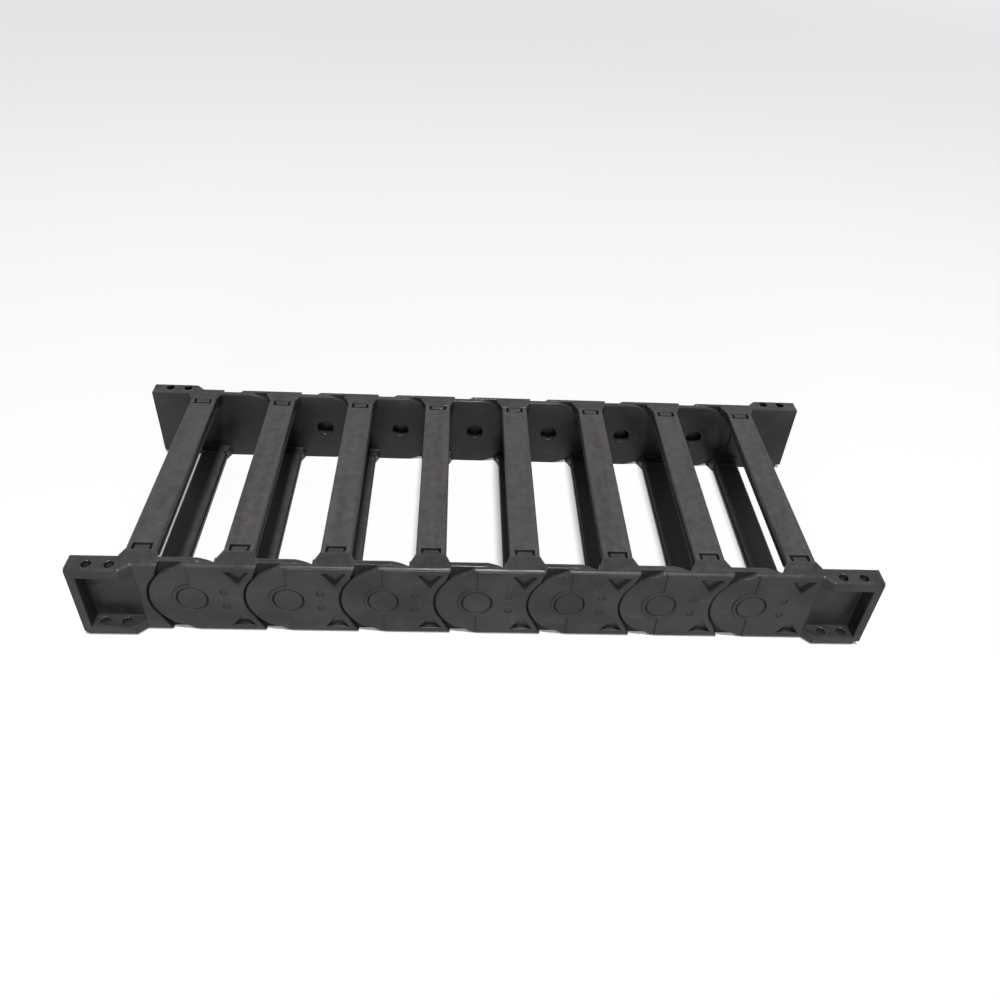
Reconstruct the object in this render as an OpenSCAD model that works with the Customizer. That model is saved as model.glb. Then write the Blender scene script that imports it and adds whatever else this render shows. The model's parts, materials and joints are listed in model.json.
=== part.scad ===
// Cable drag chain: eight snap-together frames that hinge on moulded pins.
// Each frame is two side plates and two crossbars. The two end frames carry
// the mounting brackets. The chain lies straight along X, stands on Z = 0
// and bends upwards only. The front band is the one at low Y.

/* [Chain] */
// Distance from one hinge pin to the next
pitch = 66; // [60:1:80]
// Number of frames between the two end brackets
link_count = 6; // [1:1:13]
// Tightest bend of the chain, measured to the pin line
bend_radius = 150; // [130:5:400]

/* [Side bands] */
// Height of the side plates
link_h = 64; // [58:1:80]
// Clear width between the two bands
inner_w = 200; // [75:5:400]
// Thickness of each of the two layers of a band
layer_t = 4.1; // [3.6:0.1:6]
// Running gap between the two layers
layer_gap = 0.3; // [0.2:0.05:0.6]
// Step from the raised pad of a plate down to its disc
face_step = 0.6; // [0.3:0.1:0.8]
// Height of the bevel along the outer edges of a plate
edge_bevel_h = 1.4; // [0.8:0.1:3]
// Depth of that bevel into the plate
edge_bevel_t = 1.6; // [0.8:0.1:2.5]

/* [Disc and tongue] */
// How far the rim of the disc stays inside the plate's edges
disc_inset = 2.5; // [1.5:0.1:5]
// Gap between the disc and the hollow end of its neighbour
disc_gap = 1.1; // [0.5:0.1:1.5]
// How much the tongue's arc is larger than half the plate's height
tongue_over = 0.6; // [0.4:0.1:1.5]
// Gap between the tongue and the recess that it turns in
tongue_gap = 0.6; // [0.4:0.1:1.5]
// How far the corners of the hollow end stay behind the next pin
notch_x = 18.5; // [14:0.5:22]
// How far the straight side of the upper notch leans away from the pin
notch_lean = 4; // [2:0.5:6]
// How far the straight side of the lower notch leans away from the pin
notch_low_lean = 7.5; // [5:0.5:9]
// Start of the slanting corner cuts of the disc, behind its pin
corner_run = 9; // [6:0.5:12]
// End of those corner cuts on the plate's edges, behind its pin
corner_end = 2.5; // [0:0.5:5]

/* [Hinge pin] */
// Diameter of the moulded pin
pin_d = 21; // [16:0.5:24]
// Running clearance around the pin, on the radius
pin_clear = 0.05; // [0.02:0.01:0.1]
// Width of the bevels that form the groove between the pin and its bore
rim_w = 0.4; // [0.2:0.05:0.8]
// Depth of that groove
rim_depth = 1.2; // [0.4:0.1:2]
// Wall of the hollow pin
pin_wall = 3.7; // [2.5:0.1:5]
// Thickness of the closed outer end of the pin
pin_end_t = 2.2; // [1.5:0.1:3]
// Width of the raised land around the bore
land_w = 3; // [2:0.1:5]

/* [Bend stops] */
// Distance from the rim of the pin to the stop lugs
stop_inset = 5.5; // [4:0.5:7]
// Radial width of a stop lug
stop_w = 5; // [3:0.5:6]
// Half of the angle that a stop lug covers
stop_half = 16; // [8:1:20]
// Depth of the grooves that the stop lugs run in
stop_depth = 1.6; // [1:0.1:2]
// Clearance of a stop lug in its groove
stop_clear = 0.3; // [0.2:0.05:0.5]

/* [Release marks] */
// Width of the triangular pry recesses over the crossbars
mark_w = 16.5; // [8:0.5:18]
// Height of those recesses
mark_h = 12; // [6:0.5:14]
// Distance from the plate's edge to the flat side of a recess
mark_edge = 5.4; // [4:0.1:9]
// Depth of a recess at its deepest
mark_depth = 3; // [1:0.1:4]
// Diameter of the two round ejector marks
ejector_d = 5; // [3:0.5:6]
// Depth of the ejector marks
ejector_depth = 0.5; // [0.2:0.1:0.8]
// Distance from the pin to the ejector marks, along the plate
ejector_x = 22.5; // [18:0.5:26]
// Height of the ejector marks above and below the pin
ejector_z = 7; // [4:0.5:14]

/* [Crossbars] */
// Width of a crossbar
bar_w = 21; // [16:0.5:26]
// Height of a crossbar
bar_h = 9.5; // [8:0.5:12]
// Depth of the long grooves in the sides of a crossbar
bar_waist = 1.5; // [0.5:0.1:3]
// Thickness of the flat outer flange of a crossbar
bar_flange_t = 3.4; // [2:0.1:4]
// Thickness of the inner lip of a crossbar
bar_lip_t = 1.9; // [1:0.1:3]
// Width of a foot where it leaves the side plate
foot_w = 27; // [23:0.5:32]
// Length of a foot, from the side plate to the crossbar
foot_len = 7.3; // [5:0.1:12]
// Gap between a foot and the end of its crossbar
foot_gap = 0.15; // [0.1:0.05:0.3]

/* [Crossbar latch] */
// Width of the latch tab
tab_w = 10.4; // [6:0.2:12]
// Length of the latch tab
tab_len = 4.9; // [3:0.1:8]
// Thickness of the latch tab
tab_t = 3.8; // [2:0.1:4.4]
// Width of the slot around the latch tab
tab_slot = 1.8; // [0.5:0.1:2.5]
// How far the top of the tab lies below the crossbar's face
tab_sink = 0.4; // [0.2:0.1:1]
// Height of the latch nose under the tab
nose_h = 1; // [0.5:0.1:1.5]
// Length of the latch nose
nose_len = 1.6; // [1:0.1:2.5]
// Clearance around the latch nose
nose_clear = 0.15; // [0.1:0.05:0.3]
// Length of the shelf that holds the crossbar from inside
shelf_len = 3; // [2:0.1:4]
// Thickness of that shelf
shelf_t = 2; // [1:0.1:3]

/* [End brackets] */
// Length of a bracket's mounting block, with its slanted shoulder
block_len = 42; // [36:1:80]
// How far the block stands out of the band
block_out = 6; // [4:0.5:12]
// Distance from the fixed bracket's pin to its block
fixed_reach = 36; // [32:0.5:60]
// Distance from the moving bracket's pin to its block
moving_reach = 45; // [42:0.5:70]
// Thickness of the block's upper and lower walls
flange_t = 8; // [5:0.5:12]
// Thickness of the block's end wall
end_wall_t = 6; // [4:0.5:10]
// Thickness of the block's inner wall, behind the pocket
back_t = 2.5; // [2:0.1:3.5]
// Diameter of the mounting holes
hole_d = 7; // [4:0.5:9]
// Distance between the two mounting holes
hole_pitch = 15; // [11:0.5:18]
// Distance from the end of the block to the first hole
hole_end = 13.5; // [11:0.5:16]
// Size of the cut at the lower end corner of a block
corner_cut = 4; // [2:0.5:6]

/* [Hidden] */
$fn = 64;
eps = 1;
join = 0.1;
shoulder_angle = 45;
zc = link_h / 2;
band_t = 2 * layer_t + layer_gap;
outer_w = inner_w + 2 * band_t;
tongue_u = layer_t + layer_gap;

bend_angle = 2 * asin(pitch / (2 * bend_radius));

pin_r = pin_d / 2;
bore_r = pin_r + pin_clear;
land_r = pin_r + land_w;
disc_r = zc - disc_inset;
hollow_r = disc_r + disc_gap;
tongue_r = zc + tongue_over;
recess_r = tongue_r + tongue_gap;

stop_r0 = pin_r + stop_inset;
stop_r1 = stop_r0 + stop_w;
stop_swing = asin(stop_clear / stop_r0);

bar_x = pitch / 2;
bar_y = inner_w / 2 - foot_len - foot_gap;
inner_start = bar_x - foot_w / 2 - 1;
notch_w = tab_w + 2 * tab_slot;
notch_len = tab_len + tab_slot;
notch_z = tab_t + tab_sink;

fixed_len = fixed_reach + block_len;
moving_len = moving_reach + block_len;
total_len = fixed_len + link_count * pitch + moving_len;
pin_1_x = fixed_len - total_len / 2;

graphite = [0.17, 0.17, 0.18];
slate = [0.24, 0.24, 0.26];
dust_grey = [0.36, 0.34, 0.32];

frames = [for (i = [0 : link_count + 1])
    i == 0 ? "fixed_end" : i == link_count + 1 ? "moving_end" : str("link_", i)];

parts = ["front_plate", "rear_plate", "top_bar", "bottom_bar"];

// ---------- places and directions ----------

// X of a hinge pin, counted from 1 at the fixed end
function pin_x(k) = pin_1_x + (k - 1) * pitch;

// Extrudes an outline in X and Z through the front band, from depth u0 to u1.
// Depth 0 is the band's outer face.
module through_band(u0, u1) {
    translate([0, u1 - outer_w / 2, 0])
        rotate([90, 0, 0])
            linear_extrude(u1 - u0)
                children();
}

// Extrudes an outline in Y and Z along X
module along_x(x0, x1) {
    translate([x0, 0, 0])
        rotate([90, 0, 90])
            linear_extrude(x1 - x0)
                children();
}

// Turns a shape of the upper half over to the lower half
module lower() {
    translate([0, 0, link_h])
        mirror([0, 0, 1])
            children();
}

// Puts a shape of the front band on the rear band
module rear() {
    mirror([0, 1, 0])
        children();
}

// Outline of the full-height strip between two places along the chain
module strip(x0, x1) {
    translate([x0, 0])
        square([x1 - x0, link_h]);
}

// ---------- outlines of the two layers ----------

// Round head of a plate's outer layer: the disc with its two corner cuts
module disc_outline(x1) {
    corner_z = sqrt(disc_r * disc_r - corner_run * corner_run);
    translate([0, zc]) {
        circle(disc_r);
        polygon([
            [-corner_run, -corner_z], [-corner_end, -zc], [x1, -zc],
            [x1, zc], [-corner_end, zc], [-corner_run, corner_z]
        ]);
    }
}

// Space that the next disc turns in, with the open notches above and below it
module hollow_outline(pin) {
    // the inner corners of the notches lie a little inside the circle
    corner_r = hollow_r - disc_gap / 4;
    top_x = notch_x + notch_lean;
    low_x = notch_x + notch_low_lean;
    top_z = sqrt(corner_r * corner_r - top_x * top_x);
    low_z = sqrt(corner_r * corner_r - low_x * low_x);
    translate([pin, zc]) {
        circle(hollow_r);
        polygon([
            [-top_x, top_z], [-notch_x, zc], [-notch_x, zc + eps],
            [tongue_r, zc + eps], [tongue_r, -zc - eps],
            [-notch_x, -zc - eps], [-notch_x, -zc], [-low_x, -low_z]
        ]);
    }
}

// Space that the neighbour's tongue turns in, inside the disc
module recess_outline() {
    translate([0, zc])
        circle(recess_r);
    translate([-tongue_r, -eps])
        square([tongue_r + inner_start, link_h + 2 * eps]);
}

// Tongue of the inner layer: a strip that ends in an arc around the pin
module tongue_outline(x0, pin) {
    intersection() {
        strip(x0, pin + tongue_r + eps);
        union() {
            translate([pin, zc])
                circle(tongue_r);
            strip(x0, pin);
        }
    }
}

// ---------- hinge ----------

// Moulded pin on the tongue, its closed end nearly flush with the band
module hinge_pin(x) {
    flush = 0.1;
    translate([x, -outer_w / 2 + flush, zc])
        rotate([-90, 0, 0]) {
            cylinder(h = rim_depth, r1 = pin_r - rim_w, r2 = pin_r);
            translate([0, 0, rim_depth])
                cylinder(h = tongue_u - rim_depth, r = pin_r);
        }
}

// Blind hole that makes the pin a cup, open towards the cables
module pin_hollow(x) {
    translate([x, -outer_w / 2 + pin_end_t, zc])
        rotate([-90, 0, 0])
            cylinder(h = band_t, r = pin_r - pin_wall);
}

// Bore in the disc, with a bevelled outer rim
module pin_bore() {
    translate([0, -outer_w / 2, zc])
        rotate([-90, 0, 0]) {
            translate([0, 0, -eps])
                cylinder(h = tongue_u + eps, r = bore_r);
            cylinder(h = rim_depth, r1 = bore_r + rim_w, r2 = bore_r);
        }
}

// Piece of a ring around a pin, between two angles from the X axis
module arc_sector(r0, r1, a0, a1) {
    reach = 2 * r1;
    difference() {
        intersection() {
            circle(r1);
            polygon([
                [0, 0], reach * [cos(a0), sin(a0)],
                reach * [cos((a0 + a1) / 2), sin((a0 + a1) / 2)],
                reach * [cos(a1), sin(a1)]
            ]);
        }
        circle(r0);
    }
}

// Two lugs on the tongue that stop the bend, above and below the pin
module stop_lugs(x) {
    through_band(layer_t - stop_depth + stop_clear, tongue_u + join)
        translate([x, zc])
            for (a = [90, 270])
                arc_sector(stop_r0, stop_r1, a - stop_half, a + stop_half);
}

// Grooves inside the disc: the lugs stay at one end while the chain is
// straight and reach the other end at the tightest bend
module stop_grooves() {
    through_band(layer_t - stop_depth, layer_t + eps)
        translate([0, zc])
            for (a = [90, 270])
                arc_sector(
                    stop_r0 - stop_clear, stop_r1 + stop_clear,
                    a - stop_half - bend_angle - stop_swing, a + stop_half + stop_swing
                );
}

// ---------- details of a plate's outer face ----------

// Cut that lowers the disc: the pad and the land around the bore stay proud
module disc_step() {
    through_band(-eps, face_step)
        difference() {
            translate([-disc_r - eps, -eps])
                square([disc_r + eps, link_h + 2 * eps]);
            translate([0, zc])
                circle(land_r);
        }
}

// Bevel along the upper outer edge of a plate
module upper_bevel(x0, x1) {
    along_x(x0, x1)
        translate([-outer_w / 2, link_h])
            polygon([
                [-eps, -edge_bevel_h * (1 + eps / edge_bevel_t)],
                [edge_bevel_t * (1 + eps / edge_bevel_h), eps], [-eps, eps]
            ]);
}

// The same bevel carried on along the disc's corner cut
module corner_bevel() {
    corner_z = sqrt(disc_r * disc_r - corner_run * corner_run);
    slope = atan2(zc - corner_z, corner_run - corner_end);
    run = norm([zc - corner_z, corner_run - corner_end]);
    translate([-corner_end, 0, link_h])
        rotate([0, -slope, 0])
            translate([0, 0, -link_h])
                upper_bevel(-run - eps, eps);
}

// Triangular pry recess over a crossbar. The flat side is at z_base and the
// point at z_tip. The floor runs deeper from z = link_h down to z = 0.
module pry_recess(z_base, z_tip, depth_top, depth_low) {
    z_high = max(z_base, z_tip);
    z_low = min(z_base, z_tip);
    intersection() {
        through_band(-eps, mark_depth + eps)
            polygon([
                [bar_x - mark_w / 2, z_base], [bar_x + mark_w / 2, z_base], [bar_x, z_tip]
            ]);
        along_x(bar_x - mark_w, bar_x + mark_w)
            translate([-outer_w / 2, 0])
                polygon([
                    [-eps, z_low - eps], [-eps, z_high + eps], [depth_top, z_high + eps],
                    [depth_top, z_high], [depth_low, z_low], [depth_low, z_low - eps]
                ]);
    }
}

// The two pry recesses and the ejector marks of a plate
module face_marks() {
    top_z = link_h - mark_edge;
    point_depth = 0.2;
    pry_recess(top_z, top_z - mark_h, mark_depth / 2, mark_depth);
    pry_recess(mark_edge, mark_edge + mark_h, point_depth, mark_depth);
    through_band(-eps, ejector_depth)
        for (side = [-1, 1])
            translate([ejector_x, zc + side * ejector_z])
                circle(d = ejector_d);
}

// ---------- crossbar seats ----------

// Foot on the plate's inner face, with the latch tab and the shelf
module upper_foot(x) {
    seat_y = -inner_w / 2 + foot_len;
    bar_z = link_h - bar_h;
    translate([x, 0, 0]) {
        translate([0, 0, bar_z])
            linear_extrude(bar_h)
                polygon([
                    [-foot_w / 2, -inner_w / 2 - join], [foot_w / 2, -inner_w / 2 - join],
                    [foot_w / 2, -inner_w / 2], [bar_w / 2, seat_y],
                    [-bar_w / 2, seat_y], [-foot_w / 2, -inner_w / 2]
                ]);
        translate([-tab_w / 2, seat_y - join, link_h - notch_z])
            cube([tab_w, tab_len + join, tab_t]);
        translate([-tab_w / 2, seat_y + tab_len - nose_len, link_h - notch_z - nose_h])
            cube([tab_w, nose_len, nose_h + join]);
        translate([-bar_w / 2 + bar_waist, seat_y - join, bar_z])
            cube([bar_w - 2 * bar_waist, shelf_len + join, shelf_t]);
    }
}

// Section of a crossbar, with its outer face at Z = 0
module bar_section() {
    edge = 0.6;
    lip = 1.1;
    wide = bar_w / 2;
    waist = wide - bar_waist;
    waist_top = -bar_flange_t - bar_waist / 2;
    waist_low = -bar_h + bar_lip_t + bar_waist / 2;
    half = [
        [wide - edge, 0], [wide, -edge], [wide, -bar_flange_t], [waist, waist_top],
        [waist, waist_low], [wide, -bar_h + bar_lip_t], [wide, -bar_h + lip],
        [wide - lip, -bar_h]
    ];
    polygon([each half, for (i = [len(half) - 1 : -1 : 0]) [-half[i].x, half[i].y]]);
}

// What the latch at the front end of a crossbar takes out of it
module latch_cut() {
    end_y = -bar_y - foot_gap;
    translate([-notch_w / 2, end_y - eps, link_h - notch_z])
        cube([notch_w, notch_len + eps, notch_z + eps]);
    translate([
        -tab_w / 2 - nose_clear, end_y + tab_len - nose_len - nose_clear,
        link_h - notch_z - nose_h - nose_clear
    ])
        cube([tab_w + 2 * nose_clear, nose_len + 2 * nose_clear, nose_h + nose_clear + eps]);
    translate([-bar_w / 2 - eps, end_y - eps, link_h - bar_h - eps])
        cube([bar_w + 2 * eps, shelf_len + foot_gap + eps, shelf_t + eps]);
}

// Crossbar over the cables, latched at both ends
module crossbar(x) {
    translate([x, 0, 0])
        difference() {
            translate([0, bar_y, link_h])
                rotate([90, 0, 0])
                    linear_extrude(2 * bar_y)
                        bar_section();
            latch_cut();
            rear()
                latch_cut();
        }
}

// Both feet of a plate
module feet(x) {
    upper_foot(x);
    lower()
        upper_foot(x);
}

// ---------- side plates ----------

// The two layers of a plate up to its right-hand pin: the child is the
// outline of the outer layer, the tongue starts at x0
module layers(x0, pin, hollow) {
    difference() {
        union() {
            through_band(0, tongue_u)
                difference() {
                    children();
                    hollow_outline(pin);
                }
            through_band(tongue_u, band_t)
                tongue_outline(x0, pin);
            hinge_pin(pin);
            stop_lugs(pin);
        }
        if (hollow)
            pin_hollow(pin);
    }
}

// Everything that is cut into the left-hand part of a plate, around its bore
module head_cuts() {
    through_band(layer_t, band_t + foot_len + tab_len + eps)
        translate([0, zc])
            circle(recess_r);
    through_band(layer_t, band_t + eps)
        recess_outline();
    pin_bore();
    stop_grooves();
    disc_step();
    face_marks();
}

// Side plate of a middle frame, with its own bore at X = 0
module side_plate() {
    difference() {
        union() {
            layers(0, pitch, true)
                disc_outline(pitch);
            feet(bar_x);
        }
        head_cuts();
        edge_bevels(pitch);
    }
}

// Bevels on the plate's outer edges, from the disc's corner cuts to x1
module edge_bevels(x1) {
    both_edges() {
        upper_bevel(-corner_end - eps, x1);
        corner_bevel();
    }
}

module both_edges() {
    children();
    lower()
        children();
}

// ---------- end brackets ----------

// Half of the plan on one side of the corner where a block meets its band:
// the bevels of the two faces meet on this line
module mitre(side) {
    reach = 2 * block_len;
    lean = reach * tan(shoulder_angle / 2);
    translate([block_len, -outer_w / 2, -eps])
        linear_extrude(link_h + 2 * eps)
            polygon([
                [lean, -reach], [-lean, reach],
                [side * reach - lean, reach], [side * reach + lean, -reach]
            ]);
}

// Mounting block with its free end at X = 0, its shoulder slants to the band
module mounting_block() {
    y_out = -outer_w / 2 - block_out;
    linear_extrude(link_h)
        polygon([
            [0, y_out], [block_len - block_out, y_out], [block_len, -outer_w / 2],
            [block_len + eps, -outer_w / 2], [block_len + eps, -inner_w / 2],
            [0, -inner_w / 2]
        ]);
}

// Pocket, holes and bevels of a block, and the bevel of the band beside it
module block_cuts(band_len) {
    y_out = -outer_w / 2 - block_out;
    pocket_y = -inner_w / 2 - back_t;
    translate([end_wall_t, y_out - eps, flange_t])
        cube([block_len - end_wall_t, pocket_y - y_out + eps, link_h - 2 * flange_t]);
    for (x = [hole_end, hole_end + hole_pitch])
        translate([x, (y_out + pocket_y) / 2, -eps])
            cylinder(h = link_h + 2 * eps, d = hole_d);
    both_edges() {
        translate([0, -block_out, 0])
            upper_bevel(-eps, block_len - block_out + eps);
        intersection() {
            mitre(-1);
            translate([block_len, -outer_w / 2, 0])
                rotate([0, 0, shoulder_angle])
                    translate([0, outer_w / 2, 0])
                        upper_bevel(-2 * block_out, 2 * edge_bevel_t);
        }
        intersection() {
            mitre(1);
            upper_bevel(block_len - edge_bevel_t, block_len + band_len);
        }
    }
}

// Bracket of the fixed end, with its solid pin at X = 0
module fixed_bracket() {
    cut_x = 1.25 * corner_cut;
    difference() {
        union() {
            layers(-fixed_reach - eps, 0, false)
                strip(-fixed_reach - eps, 0);
            translate([-fixed_len, 0, 0])
                mounting_block();
            feet(-bar_x);
        }
        translate([-fixed_len, 0, 0]) {
            block_cuts(fixed_reach);
            through_band(-block_out - eps, band_t + eps)
                polygon([
                    [-eps, -eps], [cut_x + eps, -eps],
                    [cut_x, 0], [0, corner_cut], [-eps, corner_cut + eps]
                ]);
        }
    }
}

// Bracket of the moving end, with its bore at X = 0
module moving_bracket() {
    difference() {
        union() {
            through_band(0, band_t)
                disc_outline(moving_reach + eps);
            translate([moving_len, 0, 0])
                mirror([1, 0, 0])
                    mounting_block();
            feet(bar_x);
        }
        head_cuts();
        both_edges()
            corner_bevel();
        translate([moving_len, 0, 0])
            mirror([1, 0, 0]) {
                block_cuts(moving_reach + corner_end + eps);
                through_band(-block_out - eps, band_t + eps)
                    translate([-eps, -eps])
                        square(corner_cut + eps);
            }
    }
}

// ---------- the eight frames ----------

// One part of frame i, counted from 0 at the fixed end
module frame_part(i, part) {
    last = link_count + 1;
    bar = i == 0 ? pin_x(1) - bar_x : pin_x(i) + bar_x;
    pin = i == 0 ? pin_x(1) : pin_x(i);
    if (part == "top_bar")
        color(dust_grey)
            crossbar(bar);
    else if (part == "bottom_bar")
        color(dust_grey)
            lower()
                crossbar(bar);
    else
        color(i % 2 == 0 ? graphite : slate)
            mirror([0, part == "rear_plate" ? 1 : 0, 0])
                translate([pin, 0, 0])
                    if (i == 0)
                        fixed_bracket();
                    else if (i == last)
                        moving_bracket();
                    else
                        side_plate();
}

for (i = [0 : link_count + 1], part = parts)
    frame_part(i, part);
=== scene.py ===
# %% [markdown]
# # Dressing a cable drag chain
# The chain is a row of frames. Each frame is two black nylon side plates and two crossbars, and a
# moulded pin lets it turn against the next one. Its shape comes ready from the CAD model, true to
# size, so this lesson is about what CAD leaves out: soft edges, moulded skin, dust, wear and light.
# The CAD model is loaded first, because every later step takes its places from it.

# %% load the chain
import json
import math
import random

import bmesh
import bpy
from mathutils import Matrix, Vector


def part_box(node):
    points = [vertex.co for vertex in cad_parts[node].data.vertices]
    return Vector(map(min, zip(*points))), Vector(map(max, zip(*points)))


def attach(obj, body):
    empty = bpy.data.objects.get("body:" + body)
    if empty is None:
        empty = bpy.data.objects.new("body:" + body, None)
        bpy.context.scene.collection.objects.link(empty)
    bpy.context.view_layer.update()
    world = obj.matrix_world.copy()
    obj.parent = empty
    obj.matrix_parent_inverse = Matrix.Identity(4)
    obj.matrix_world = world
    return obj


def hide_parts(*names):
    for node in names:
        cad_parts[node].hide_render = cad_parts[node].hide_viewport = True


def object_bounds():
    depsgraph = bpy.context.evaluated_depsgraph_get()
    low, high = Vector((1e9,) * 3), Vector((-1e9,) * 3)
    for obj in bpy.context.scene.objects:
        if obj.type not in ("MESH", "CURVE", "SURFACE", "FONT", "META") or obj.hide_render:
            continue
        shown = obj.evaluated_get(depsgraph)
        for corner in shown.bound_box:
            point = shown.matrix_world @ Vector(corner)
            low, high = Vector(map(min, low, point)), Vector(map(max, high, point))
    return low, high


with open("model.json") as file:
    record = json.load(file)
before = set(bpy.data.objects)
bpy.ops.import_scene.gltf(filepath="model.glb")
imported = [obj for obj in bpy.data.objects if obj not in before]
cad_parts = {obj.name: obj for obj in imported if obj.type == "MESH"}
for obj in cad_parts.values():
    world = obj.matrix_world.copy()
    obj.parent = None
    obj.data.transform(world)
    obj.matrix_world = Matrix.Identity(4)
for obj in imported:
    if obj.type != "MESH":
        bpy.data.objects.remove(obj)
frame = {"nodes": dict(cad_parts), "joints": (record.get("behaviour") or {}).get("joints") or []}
cad_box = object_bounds()
nodes = frame["nodes"]
bars = sorted(name for name in nodes if name.endswith("_bar"))
plates = sorted(name for name in nodes if name.endswith("_plate"))
scene = bpy.context.scene
print(f"{len(plates)} side plates and {len(bars)} crossbars,",
      "box in mm:", [round(1000 * (b - a), 1) for a, b in zip(*cad_box)])

# %% [markdown]
# ## Crossbars
# A crossbar is a ribbed nylon beam, snapped between the two bands. The CAD bar has its true section
# and latch slots, but its edges are knife sharp, and a sharp edge never catches light. There are
# two cures: a shader that fakes a round edge, or real rounding in the mesh. The bars lie right in
# front, they are simple enough for the mesh, and a real radius also shows in the outline, so they
# get the real one. A copy of each bar is merged, because CAD triangles are loose, and its flat
# faces are made whole, so that the Bevel modifier meets only true edges.

# %% a merged copy of a CAD piece
MERGE = 2e-6
FLAT = math.radians(1)


def merged_copy(node):
    """The node's shape as one closed mesh with whole flat faces."""
    shape = bmesh.new()
    shape.from_mesh(nodes[node].data)
    bmesh.ops.remove_doubles(shape, verts=shape.verts, dist=MERGE)
    bmesh.ops.dissolve_limit(shape, angle_limit=FLAT, verts=shape.verts, edges=shape.edges)
    return shape


trial = merged_copy(bars[0])
print(bars[0], "has", len(trial.faces), "faces, open edges:",
      sum(not edge.is_manifold for edge in trial.edges))
trial.free()

# %% [markdown]
# Where a mould half closes, a bar keeps a few small nubs of flash on the side of its lips. They are
# the only thing on the bars that stands out of the straight lines, so each bar gets its own few.
# A flattened icosphere is enough for a nub less than a millimetre wide.

# %% nubs of flash
NUB = 0.00045
random.seed(7)


def add_nubs(shape, low, high, count):
    """Small flattened balls along the outer lips of a bar that runs along Y."""
    for _ in range(count):
        side = random.choice((-1, 1))
        x = (low.x + high.x) / 2 + side * ((high.x - low.x) / 2 - NUB / 3)
        y = random.uniform(0.85 * low.y, 0.85 * high.y)
        z = random.choice((low.z + 0.0014, high.z - 0.002))
        place = Matrix.Translation((x, y, z)) @ Matrix.Diagonal((0.6, 1.4, 0.8, 1))
        bmesh.ops.create_icosphere(shape, subdivisions=2, radius=NUB, matrix=place)


print("a nub is", 2000 * NUB, "mm wide before it is flattened")


# %% [markdown]
# Now all sixteen bars are made in the same way. A nylon edge from a mould has a radius of about a
# quarter of a millimetre, and three segments are enough to let it shine evenly. The modifier finds
# the edges by their angle, so the flat faces stay flat. Each new bar rides with its own frame and
# takes the place of the CAD bar.

# %% the sixteen crossbars
EDGE_R = 0.00028
SHARP = math.radians(30)


def round_edges(piece, width, segments):
    """Rounds every sharp edge, and shades the rest smooth."""
    for face in piece.data.polygons:
        face.use_smooth = True
    bevel = piece.modifiers.new("rounded edges", "BEVEL")
    bevel.width = width
    bevel.segments = segments
    bevel.limit_method = "ANGLE"
    bevel.angle_limit = SHARP
    bevel.use_clamp_overlap = False
    bevel.harden_normals = True


bar_pieces = []
for node in bars:
    shape = merged_copy(node)
    add_nubs(shape, *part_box(node), count=random.randint(1, 3))
    piece = bpy.data.objects.new(node.replace("_bar", "_crossbar"), bpy.data.meshes.new(node))
    shape.to_mesh(piece.data)
    shape.free()
    scene.collection.objects.link(piece)
    round_edges(piece, EDGE_R, segments=3)
    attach(piece, node.rsplit("_", 2)[0])
    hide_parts(node)
    bar_pieces.append(piece)
print(len(bar_pieces), "crossbars with edges rounded to", 1000 * EDGE_R, "mm")

# %% [markdown]
# ## Building blocks for the finishes
# Both finishes are black nylon from a mould, so they share their effects: edge wear, moulded grain,
# smudges and dust. Each effect is a node group, made once and placed in both materials with its own
# numbers. Small helpers keep the wiring short: one adds a node and connects or fills its inputs,
# two more do arithmetic and smooth steps, and the last opens a group with named sockets.

# %% helpers for nodes
def add(tree, kind, inputs=None, **settings):
    """Adds a shader node. An input is either another node's output or a plain value."""
    node = tree.nodes.new("ShaderNode" + kind)
    for key, value in settings.items():
        setattr(node, key, value)
    for key, value in (inputs or {}).items():
        if isinstance(value, bpy.types.NodeSocket):
            tree.links.new(value, node.inputs[key])
        else:
            node.inputs[key].default_value = value
    return node


def calc(tree, operation, *values, clamp=False):
    """One Math node, by the name of its operation."""
    node = add(tree, "Math", dict(enumerate(values)), operation=operation, use_clamp=clamp)
    return node.outputs["Value"]


def step(tree, value, low, high):
    """A smooth step from 0 at low to 1 at high."""
    node = add(tree, "MapRange", {"Value": value, "From Min": low, "From Max": high},
               interpolation_type="SMOOTHSTEP")
    return node.outputs["Result"]


KINDS = {"f": "NodeSocketFloat", "v": "NodeSocketVector", "c": "NodeSocketColor"}


def open_group(name, inputs, outputs):
    """A new node group, with its input and output nodes."""
    tree = bpy.data.node_groups.new(name, "ShaderNodeTree")
    for label, (kind, value) in inputs.items():
        socket = tree.interface.new_socket(label, in_out="INPUT", socket_type=KINDS[kind])
        if value is not None:
            socket.default_value = value
    for label, kind in outputs.items():
        tree.interface.new_socket(label, in_out="OUTPUT", socket_type=KINDS[kind])
    return tree, tree.nodes.new("NodeGroupInput").outputs, tree.nodes.new("NodeGroupOutput").inputs


print("helpers: add, calc, step, open_group")

# %% [markdown]
# ### Soft edges, with wear, a painted highlight and painted shade
# The side plates keep their CAD shape, with steps of half a millimetre that a real bevel would
# spoil. The Bevel node rounds their edges in the shading alone: it gives the normal that the
# surface would have with a small radius. Where that normal departs from the flat one, an edge is
# near, so the node also gives two masks. The edges on the upper side, which hands and cables
# polish, get a lighter colour, which is both that wear and a painted highlight along them. The
# edges in the steps of the upright sides get painted shade, and so does every slot and recess,
# which the Ambient Occlusion node finds by their lack of open sky.

# %% edge group
EDGE_TURN = 0.01, 0.08
UPPER_SIDE = 0.2, 0.6
OPEN_SKY = 0.45, 0.8

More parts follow.
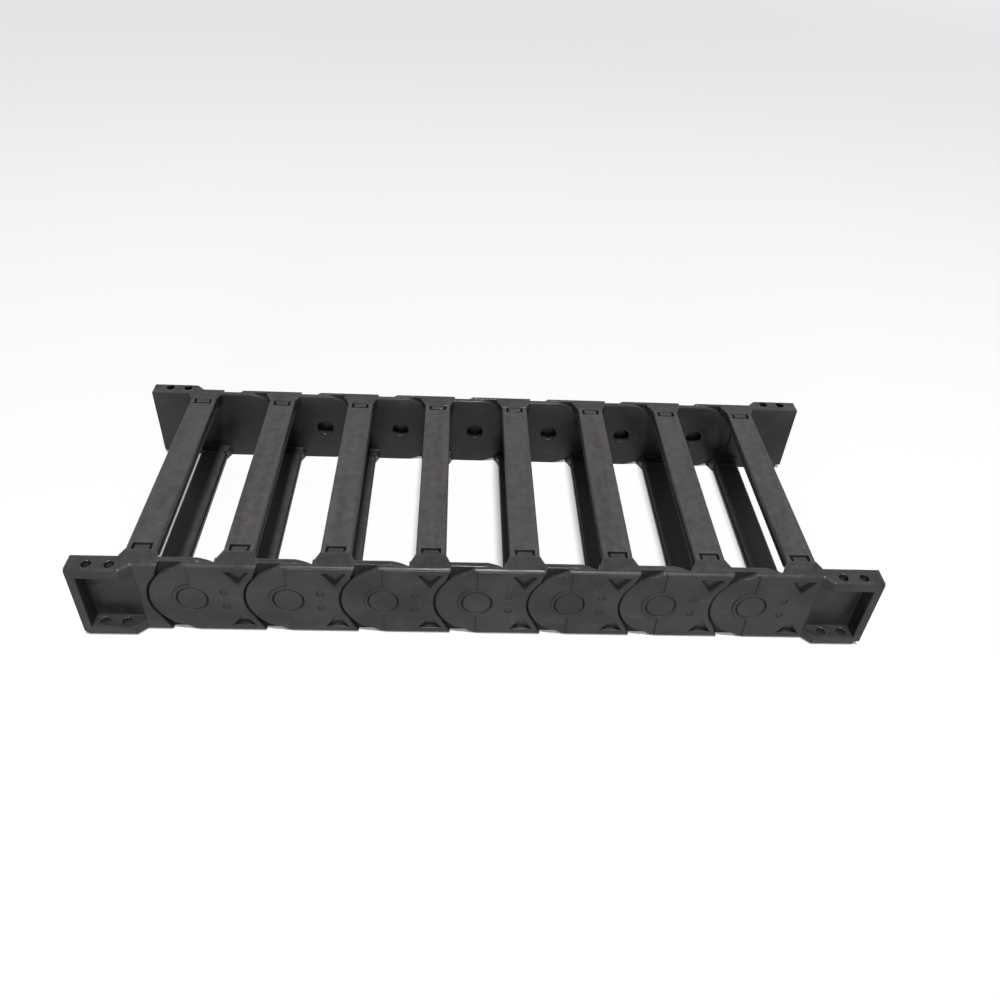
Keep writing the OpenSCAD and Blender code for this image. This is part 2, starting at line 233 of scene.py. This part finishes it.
edge_group, given, result = open_group(
    "soft edge", {"Radius": ("f", 0.001), "Own normal": ("v", None), "Depth": ("f", 0.005)},
    {"Normal": "v", "Wear and highlight": "f", "Painted shade": "f"})
rounded = add(edge_group, "Bevel", {"Radius": given["Radius"]}, samples=8).outputs["Normal"]
true_normal = add(edge_group, "NewGeometry").outputs["Normal"]
agree = add(edge_group, "VectorMath", {0: rounded, 1: true_normal}, operation="DOT_PRODUCT")
turn = calc(edge_group, "SUBTRACT", 1.0, agree.outputs["Value"], clamp=True)
near = step(edge_group, turn, *EDGE_TURN)
rise = add(edge_group, "SeparateXYZ", {"Vector": given["Own normal"]}).outputs["Z"]
free = step(edge_group, rise, *UPPER_SIDE)
# upper edges, lightened for wear and as a painted highlight
upper_edge = calc(edge_group, "MULTIPLY", near, free)
side_edge = calc(edge_group, "SUBTRACT", near, upper_edge)
# recesses found by Ambient Occlusion, for painted shade
open_sky = add(edge_group, "AmbientOcclusion", {"Distance": given["Depth"]}, samples=6,
               only_local=True).outputs["AO"]
bare = step(edge_group, open_sky, *OPEN_SKY)
sheltered = calc(edge_group, "SUBTRACT", 1.0, bare)
edge_group.links.new(rounded, result["Normal"])
# the upper edges' mask: wear and a painted highlight
edge_group.links.new(calc(edge_group, "MULTIPLY", upper_edge, bare), result["Wear and highlight"])
# painted shade: edges in the side steps and sheltered recesses
edge_group.links.new(calc(edge_group, "MAXIMUM", side_edge, sheltered), result["Painted shade"])
print("edge group:", len(edge_group.nodes), "nodes")

# %% [markdown]
# ### Moulded grain
# The mould is spark eroded, which leaves a skin of fine pimples under half a millimetre wide, and
# the plastic shrinks a little unevenly over the thick places. One fine and one broad noise, added
# up, give the height for a Bump node. The broad one is weak: it only makes a reflection waver.

# %% grain group
WAVES = 90.0

grain_group, given, result = open_group(
    "moulded grain", {"Vector": ("v", None), "Grain": ("f", 2600.0), "Waver": ("f", 0.4)},
    {"Height": "f"})
fine = add(grain_group, "TexNoise", {"Vector": given["Vector"], "Scale": given["Grain"],
                                     "Detail": 2.0})
broad = add(grain_group, "TexNoise", {"Vector": given["Vector"], "Scale": WAVES, "Detail": 1.0})
lifted = calc(grain_group, "MULTIPLY", broad.outputs["Fac"], given["Waver"])
grain_group.links.new(calc(grain_group, "ADD", fine.outputs["Fac"], lifted), result["Height"])
print("grain group:", len(grain_group.nodes), "nodes")

# %% [markdown]
# ### Smudges and scratches
# Handling leaves matt clouds a few centimetres wide, and fine scratches that run mostly along the
# chain. A cloud is a soft noise, which the crossbars draw out along their length, the way cables
# slide over them. A scratch is a noise stretched twenty times along X, of which only a thin band of
# its range is kept.

# %% smudge group
CLOUD_EDGE = 0.3, 0.7
RUBBED = 0.45, 0.7
STRETCH = 12.0, 260.0, 260.0
SCRATCH_LEVEL, SCRATCH_BAND = 0.62, 0.012

smudge_group, given, result = open_group(
    "smudges", {"Vector": ("v", None), "Cloud scale": ("v", None), "Scratches": ("f", 0.5)},
    {"Cloud": "f", "Scratch": "f"})
drawn = add(smudge_group, "VectorMath", {0: given["Vector"], 1: given["Cloud scale"]},
            operation="MULTIPLY")
cloud = add(smudge_group, "TexNoise", {"Vector": drawn.outputs[0], "Scale": 1.0, "Detail": 4.0,
                                       "Distortion": 0.6})
long_way = add(smudge_group, "Mapping", {"Vector": given["Vector"], "Scale": STRETCH,
                                         "Rotation": (0.0, 0.1, 0.05)})
streak = add(smudge_group, "TexNoise", {"Vector": long_way.outputs[0], "Scale": 1.0,
                                        "Detail": 2.0})
off = calc(smudge_group, "SUBTRACT", streak.outputs["Fac"], SCRATCH_LEVEL)
off = calc(smudge_group, "ABSOLUTE", off)
thin = calc(smudge_group, "SUBTRACT", 1.0, step(smudge_group, off, 0.0, SCRATCH_BAND))
rubbed = calc(smudge_group, "MULTIPLY", thin, step(smudge_group, cloud.outputs["Fac"], *RUBBED))
smudge_group.links.new(step(smudge_group, cloud.outputs["Fac"], *CLOUD_EDGE), result["Cloud"])
smudge_group.links.new(calc(smudge_group, "MULTIPLY", rubbed, given["Scratches"]),
                       result["Scratch"])
print("smudge group:", len(smudge_group.nodes), "nodes")

# %% [markdown]
# ### Dust
# Dust settles on what faces up. The direction comes from the normal in the piece's own space, so
# the dust stays where it lies when the chain bends. A cloudy noise breaks it up, and a few specks
# of lint come from a Voronoi texture, of which only the very centres of some cells are kept.

# %% dust group
FACING_UP = 0.3, 0.95
PATCHES = 0.25, 0.75
FEW, SPECK_R = 0.965, 0.13

dust_group, given, result = open_group(
    "dust", {"Vector": ("v", None), "Own normal": ("v", None), "Film": ("f", 0.5),
             "Specks": ("f", 0.5)},
    {"Film": "f", "Speck": "f"})
upward = add(dust_group, "SeparateXYZ", {"Vector": given["Own normal"]}).outputs["Z"]
lying = step(dust_group, upward, *FACING_UP)
patchy = add(dust_group, "TexNoise", {"Vector": given["Vector"], "Scale": 160.0, "Detail": 5.0,
                                      "Roughness": 0.65})
film = calc(dust_group, "MULTIPLY", lying, step(dust_group, patchy.outputs["Fac"], *PATCHES))
cells = add(dust_group, "TexVoronoi", {"Vector": given["Vector"], "Scale": 420.0})
chance = add(dust_group, "SeparateColor", {"Color": cells.outputs["Color"]}).outputs["Red"]
picked = calc(dust_group, "GREATER_THAN", chance, FEW)
centre = calc(dust_group, "LESS_THAN", cells.outputs["Distance"], SPECK_R)
speck = calc(dust_group, "MULTIPLY", picked, centre)
dust_group.links.new(calc(dust_group, "MULTIPLY", film, given["Film"]), result["Film"])
dust_group.links.new(calc(dust_group, "MULTIPLY", speck, given["Specks"]), result["Speck"])
print("dust group:", len(dust_group.nodes), "nodes")

# %% [markdown]
# ### Painted shade in the hinges
# Each band has two layers. A tongue of the one plate runs behind the disc of the next, and the
# notches beside each disc look into that narrow, deep gap. The tongue faces there are painted
# near black, as painted shade for that gap, and they stay so on the tongues when the chain bends.
# The layers meet at one distance from the chain's middle line, so the first mask is just the faces
# that lie there and look outward or inward. A dark ring of painted shade on the outside of each
# disc stands for the shadow in the groove round its pin.
# The pins are one pitch apart, so X, counted from the first pin and wrapped at the pitch, gives the
# distance to the nearest of them.

# %% hinge shade group
LAYERS_MEET, NEAR_ENOUGH = 0.10425, 0.0004
FLAT_ON = 0.9
PINS = [joint["pos_m"] for joint in frame["joints"]]
FIRST_X, _, PIN_Z = PINS[0]
PITCH = PINS[1][0] - FIRST_X
RING_R, RING_EDGE = 0.01053, (0.0005, 0.0011)
LAST_PIN, OUTER_SKIN = 0.22, 0.107

hinge_group, given, result = open_group(
    "hinge painted shade", {"Vector": ("v", None), "Own normal": ("v", None)}, {"Painted hinge shade": "f"})
spot = add(hinge_group, "SeparateXYZ", {"Vector": given["Vector"]}).outputs
facing = add(hinge_group, "SeparateXYZ", {"Vector": given["Own normal"]}).outputs["Y"]
flat_on = calc(hinge_group, "GREATER_THAN", calc(hinge_group, "ABSOLUTE", facing), FLAT_ON)
from_middle = calc(hinge_group, "ABSOLUTE", spot["Y"])

# the faces between the two layers, for painted shade in the gap
off_line = calc(hinge_group, "SUBTRACT", from_middle, LAYERS_MEET)
at_layers = calc(hinge_group, "LESS_THAN", calc(hinge_group, "ABSOLUTE", off_line), NEAR_ENOUGH)

# the painted-shade ring round the nearest pin, on the outside only
from_first = calc(hinge_group, "SUBTRACT", spot["X"], FIRST_X)
from_pin = add(hinge_group, "CombineXYZ", {
    "X": calc(hinge_group, "WRAP", from_first, PITCH / 2, -PITCH / 2),
    "Z": calc(hinge_group, "SUBTRACT", spot["Z"], PIN_Z)}).outputs[0]
radius = add(hinge_group, "VectorMath", {0: from_pin}, operation="LENGTH").outputs["Value"]
off_ring = calc(hinge_group, "ABSOLUTE", calc(hinge_group, "SUBTRACT", radius, RING_R))
ring = calc(hinge_group, "SUBTRACT", 1.0, step(hinge_group, off_ring, *RING_EDGE))
has_pin = calc(hinge_group, "LESS_THAN", calc(hinge_group, "ABSOLUTE", spot["X"]), LAST_PIN)
outside = calc(hinge_group, "GREATER_THAN", from_middle, OUTER_SKIN)
ring = calc(hinge_group, "MULTIPLY", ring, calc(hinge_group, "MULTIPLY", has_pin, outside))

# both masks are painted shade
shaded_place = calc(hinge_group, "MAXIMUM", at_layers, ring)
hinge_group.links.new(calc(hinge_group, "MULTIPLY", shaded_place, flat_on), result["Painted hinge shade"])
print(len(PINS), "pins, one every", round(1000 * PITCH, 1), "mm, hinge painted shade group:",
      len(hinge_group.nodes), "nodes")

# %% [markdown]
# ## The two finishes
# The plates are nearly black with a satin skin. The crossbars are the same plastic, but dust and
# handling have turned them matt and a little warm. The colour is built in layers: plastic, clouds,
# lighter edges for wear and a painted highlight, scratches, painted shade, then dust. One function
# makes both, from the values in which they differ. What is the same all over stays on the shader's
# own sockets.

# %% nylon
# the near-black colour of the painted shade, and the colour of real lint specks
PAINTED_SHADE_COLOUR, LINT = (0.002, 0.002, 0.002, 1), (0.32, 0.31, 0.29, 1)
# how much the lighter edges (wear and painted highlight) and the painted shade show
WEAR_AND_HIGHLIGHT_SHOWS, PAINTED_SHADE_SHOWS = 0.22, 0.97
# dust and the painted-shade places are made matt
DUST_MATT, PAINTED_SHADE_MATT = 0.25, 0.35
GRAIN_DEPTH = 0.000014


def tint(tree, amount, below, above):
    """Lays one colour over another by a mask."""
    return add(tree, "Mix", {0: amount, 6: below, 7: above}, data_type="RGBA").outputs[2]


def nylon(name, dark, light, wear_and_highlight, dust, shine, matt, film, specks, clouds, scratches, grain,
          edge_r, polish):
    """Moulded black nylon: satin plastic, clouds, scratches, dust, edges lightened for wear and as
    a painted highlight, and painted shade.
    """
    material = bpy.data.materials.new(name)
    material.use_nodes = True
    tree = material.node_tree
    tree.nodes.clear()
    coords = add(tree, "TexCoord").outputs
    here = {"Vector": coords["Object"]}
    turned = {"Own normal": coords["Normal"]}
    edge = add(tree, "Group", {"Radius": edge_r, **turned}, node_tree=edge_group).outputs
    smudge = add(tree, "Group", {**here, "Cloud scale": clouds, "Scratches": scratches},
                 node_tree=smudge_group).outputs
    dusty = add(tree, "Group", {**here, **turned, "Film": film, "Specks": specks},
                node_tree=dust_group).outputs
    skin = add(tree, "Group", {**here, "Grain": grain}, node_tree=grain_group).outputs
    hinge = add(tree, "Group", {**here, **turned}, node_tree=hinge_group).outputs

    # scratches, and upper edges lightened for wear and as a painted highlight
    rub_and_highlight = calc(tree, "ADD", calc(tree, "MULTIPLY", edge["Wear and highlight"], WEAR_AND_HIGHLIGHT_SHOWS), smudge["Scratch"],
               clamp=True)
    # painted shade: edge steps, recesses and hinge gaps in one mask
    painted_shade = calc(tree, "MAXIMUM", edge["Painted shade"], hinge["Painted hinge shade"])
    colour = tint(tree, smudge["Cloud"], dark, light)
    colour = tint(tree, rub_and_highlight, colour, wear_and_highlight)
    # the near-black painted shade over the plastic
    colour = tint(tree, calc(tree, "MULTIPLY", painted_shade, PAINTED_SHADE_SHOWS), colour, PAINTED_SHADE_COLOUR)
    colour = tint(tree, dusty["Film"], colour, dust)
    colour = tint(tree, dusty["Speck"], colour, LINT)

    rough = add(tree, "MapRange", {"Value": smudge["Cloud"], "To Min": shine, "To Max": matt})
    rough = calc(tree, "ADD", rough.outputs["Result"],
                 calc(tree, "MULTIPLY", dusty["Film"], DUST_MATT), clamp=True)
    rough = calc(tree, "SUBTRACT", rough, calc(tree, "MULTIPLY", edge["Wear and highlight"], polish), clamp=True)
    rough = calc(tree, "MULTIPLY_ADD", painted_shade, PAINTED_SHADE_MATT, rough, clamp=True)
    bump = add(tree, "Bump", {"Height": skin["Height"], "Normal": edge["Normal"],
                              "Strength": 0.5, "Distance": GRAIN_DEPTH})
    shader = add(tree, "BsdfPrincipled", {"Base Color": colour, "Roughness": rough,
                                          "Normal": bump.outputs[0], "IOR": 1.53,
                                          "Specular IOR Level": 0.28})
    add(tree, "OutputMaterial", {"Surface": shader.outputs[0]})
    return material


plate_nylon = nylon(
    "side plate nylon", dark=(0.0078, 0.0075, 0.0072, 1), light=(0.0215, 0.021, 0.02, 1),
    wear_and_highlight=(0.1, 0.1, 0.101, 1), dust=(0.12, 0.116, 0.11, 1), shine=0.29, matt=0.45,
    film=0.2, specks=0.5, clouds=(22.0, 28.0, 34.0), scratches=0.4, grain=2600.0, edge_r=0.002,
    polish=0.18)
bar_nylon = nylon(
    "crossbar nylon", dark=(0.022, 0.0206, 0.0199, 1), light=(0.042, 0.0392, 0.037, 1),
    wear_and_highlight=(0.085, 0.081, 0.077, 1), dust=(0.12, 0.114, 0.107, 1), shine=0.46, matt=0.6,
    film=0.3, specks=0.7, clouds=(110.0, 12.0, 60.0), scratches=0.5, grain=2200.0,
    edge_r=0.0003, polish=0.1)
print("finishes:", plate_nylon.name, "and", bar_nylon.name)

# %% [markdown]
# A piece shows what is in its material slots. The finish goes into every slot that a CAD plate
# has, and a new crossbar, which has none, is given one.


# %% dress the pieces
def dress(piece, material):
    """Gives the whole piece one material."""
    if not piece.material_slots:
        piece.data.materials.append(material)
    for slot in piece.material_slots:
        slot.material = material


for name in plates:
    dress(nodes[name], plate_nylon)
for piece in bar_pieces:
    dress(piece, bar_nylon)
print("dressed", len(plates), "plates and", len(bar_pieces), "crossbars")

# %% [markdown]
# ## Floor
# The chain lies on a plain white table. The floor's colour is a pale grey, and for the camera alone
# it gives off a little light of its own, so that it comes out white although the lamps stay at a
# plain level. The shadow under the chain stays, since only the lit part of the colour makes it.
# Farther off, where the lamps don't reach, the glow takes over, up to the level of the backdrop.

# %% floor
def seen_by_camera(tree):
    """1 where the camera looks, straight or by way of a reflection or glass, and 0 for light."""
    rays = add(tree, "LightPath").outputs
    straight = calc(tree, "MAXIMUM", rays["Is Camera Ray"], rays["Is Glossy Ray"])
    return calc(tree, "MAXIMUM", straight, rays["Is Transmission Ray"])


FLOOR_Z = cad_box[0].z - 0.0002
GREY, GLOW, FAR_GLOW = 0.62, 0.25, 0.62
bpy.ops.mesh.primitive_plane_add(size=60, location=(0, 0, FLOOR_Z))
floor = bpy.context.object
floor.name = "table"

table_top = bpy.data.materials.new("white table")
table_top.use_nodes = True
tree = table_top.node_tree
surface = tree.nodes["Principled BSDF"]
surface.inputs["Base Color"].default_value = (GREY, GREY, GREY, 1)
surface.inputs["Roughness"].default_value = 0.9
surface.inputs["Specular IOR Level"].default_value = 0.0
surface.inputs["Emission Color"].default_value = (1, 1, 1, 1)
reach = add(tree, "VectorMath", {0: add(tree, "TexCoord").outputs["Object"]}, operation="LENGTH")
far_away = step(tree, reach.outputs["Value"], 1.0, 6.0)
glow = calc(tree, "MULTIPLY_ADD", far_away, FAR_GLOW, GLOW)
glow = calc(tree, "MULTIPLY", seen_by_camera(tree), glow)
tree.links.new(glow, surface.inputs["Emission Strength"])
dress(floor, table_top)
print("floor at z =", round(FLOOR_Z, 4))

# %% [markdown]
# ## Light
# Black plastic shows its form through what it mirrors, far more than through its own colour. The
# main lamp stands high in front, where the rounded upper edges mirror it to the camera as one thin
# bright line. It is a little to the right, so that each upper bar leaves a lit strip on the bar
# below it. A long weak lamp just above the table lights the front band alone, since that band keeps
# its light off the far one.

# %% lamps
def lamp(name, azimuth, elevation, distance, size, power):
    """A soft rectangular lamp that faces the chain. Azimuth 0 is in front."""
    light = bpy.data.lights.new(name, "AREA")
    light.shape = "RECTANGLE"
    light.size, light.size_y = size
    light.energy = power
    lamp_object = bpy.data.objects.new(name, light)
    a, e = math.radians(azimuth), math.radians(elevation)
    towards = Vector((math.sin(a) * math.cos(e), -math.cos(a) * math.cos(e), math.sin(e)))
    lamp_object.location = towards * distance
    lamp_object.rotation_euler = towards.to_track_quat("Z", "Y").to_euler()
    scene.collection.objects.link(lamp_object)
    print(f"{name}: {power} W at", tuple(round(c, 2) for c in lamp_object.location))


lamp("main lamp", 9, 73, 5.0, (0.6, 0.45), 300)
lamp("front lamp", -4, 3.5, 4.0, (1.5, 0.3), 75)

# %% [markdown]
# The world fills in weakly from all sides, so that no recess goes quite black. It has to be pale
# where the camera or a reflection meets it, but weak as light, so its strength is picked by the
# kind of ray, as the floor's glow is.

# %% world
FILL, BACKDROP = 0.06, 0.86
world = bpy.data.worlds.new("white room")
scene.world = world
world.use_nodes = True
tree = world.node_tree
level = add(tree, "MapRange", {"Value": seen_by_camera(tree), "To Min": FILL,
                              "To Max": BACKDROP})
tree.links.new(level.outputs["Result"], tree.nodes["Background"].inputs["Strength"])
tree.nodes["Background"].inputs["Color"].default_value = (1, 1, 1, 1)
scene.view_settings.view_transform = "Standard"
print("world:", FILL, "as light,", BACKDROP, "where it is seen")

# %% [markdown]
# ## Camera
# The chain is looked at from close in front and well above, about 40 degrees down, with a moderate
# wide-angle lens, so that the front band comes out clearly longer than the rear one. The camera is
# turned a few degrees to the left of the chain's middle line and tilted a little, as a hand-held
# camera is. The rotation is put together from those three angles, in the order in which a hand
# makes them: swing, look down, tilt.

# %% camera
STANDS_AT = (-0.0243, -0.5335, 0.4844)
SWING, DOWN, TILT = (math.radians(angle) for angle in (4.2, 39.9, 4.0))
turn = (Matrix.Rotation(-SWING, 4, "Z") @ Matrix.Rotation(math.pi / 2 - DOWN, 4, "X")
        @ Matrix.Rotation(TILT, 4, "Z"))
camera = bpy.data.objects.new("camera", bpy.data.cameras.new("camera"))
camera.data.lens = 31.3
camera.data.sensor_width = 36
camera.data.clip_start = 0.01
camera.matrix_world = Matrix.Translation(STANDS_AT) @ turn
scene.collection.objects.link(camera)
scene.camera = camera
print("camera at", tuple(round(c, 3) for c in camera.matrix_world.translation))
